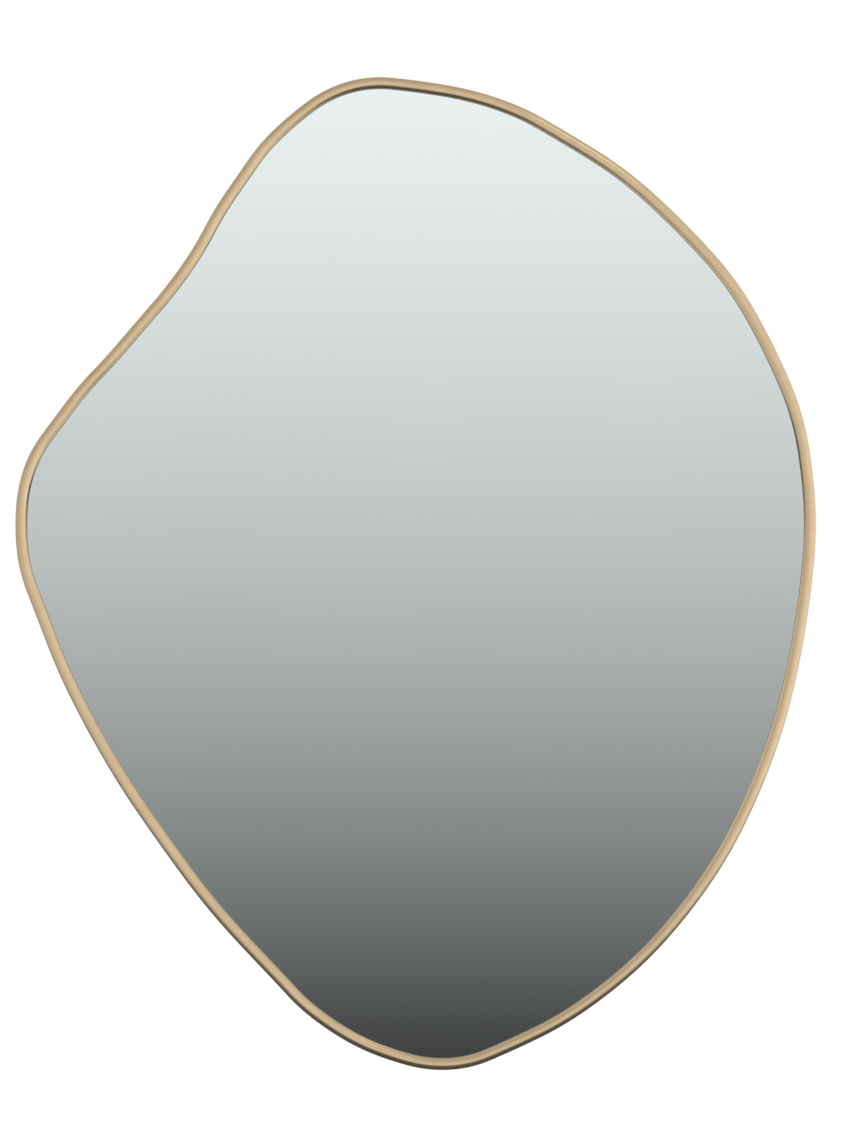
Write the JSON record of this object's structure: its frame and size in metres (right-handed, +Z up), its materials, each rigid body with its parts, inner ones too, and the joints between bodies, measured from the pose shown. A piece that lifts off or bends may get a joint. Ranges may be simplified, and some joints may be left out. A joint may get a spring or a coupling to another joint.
{
  "type": "irregular wall mirror",
  "caption": "Wall mirror with a free, pebble-like outline in a slim half-round metal rim, hung from folding D-rings.",
  "frame": {"origin": "on the wall plane, midway between the points where the two hanger rings bear on the wall's hooks", "axes": "+Z up, +Y into the wall, so the glass faces -Y; +X to the right seen from the front"},
  "size_m": [0.6449, 0.0272, 0.8],
  "materials": {
    "champagne_metal": "satin champagne gold",
    "mirror": "silvered float glass",
    "fibreboard": "raw fibreboard",
    "foam_tape": "closed-cell foam",
    "lug_steel": "bent strip in the rim's colour",
    "screw_steel": "zinc-plated pan head, cross recess",
    "zinc_plate": "bright zinc plate",
    "rubber": "soft black rubber"
  },
  "bodies": {
    "mirror": {"rim": "champagne_metal", "mirror_glass": "mirror", "backing_board": "fibreboard", "tape_top": "foam_tape", "tape_upper": "foam_tape", "tape_middle": "foam_tape", "tape_lower": "foam_tape", "tape_bottom": "foam_tape", "lug_bottom": "lug_steel", "lug_lower_right": "lug_steel", "lug_right": "lug_steel", "lug_upper_right": "lug_steel", "lug_top": "lug_steel", "lug_upper_left": "lug_steel", "lug_left": "lug_steel", "lug_lower_left": "lug_steel", "lug_screws": "screw_steel", "hanger_strap_left": "zinc_plate", "hanger_screws_left": "screw_steel", "hanger_strap_right": "zinc_plate", "hanger_screws_right": "screw_steel", "bumper_top_left": "rubber", "bumper_top_right": "rubber", "bumper_bottom_left": "rubber", "bumper_bottom_right": "rubber"},
    "left_ring": {"hanger_ring_left": "zinc_plate"},
    "right_ring": {"hanger_ring_right": "zinc_plate"}
  },
  "joints": [
    {"name": "left_ring_swing", "type": "hinge", "parent": "mirror", "child": "left_ring", "pos_m": [-0.15, -0.0052, -0.0165], "axis": [-1, 0, 0], "range_deg": [0, 174]},
    {"name": "right_ring_swing", "type": "hinge", "parent": "mirror", "child": "right_ring", "pos_m": [0.15, -0.0052, -0.0165], "axis": [-1, 0, 0], "range_deg": [0, 174]}
  ]
}
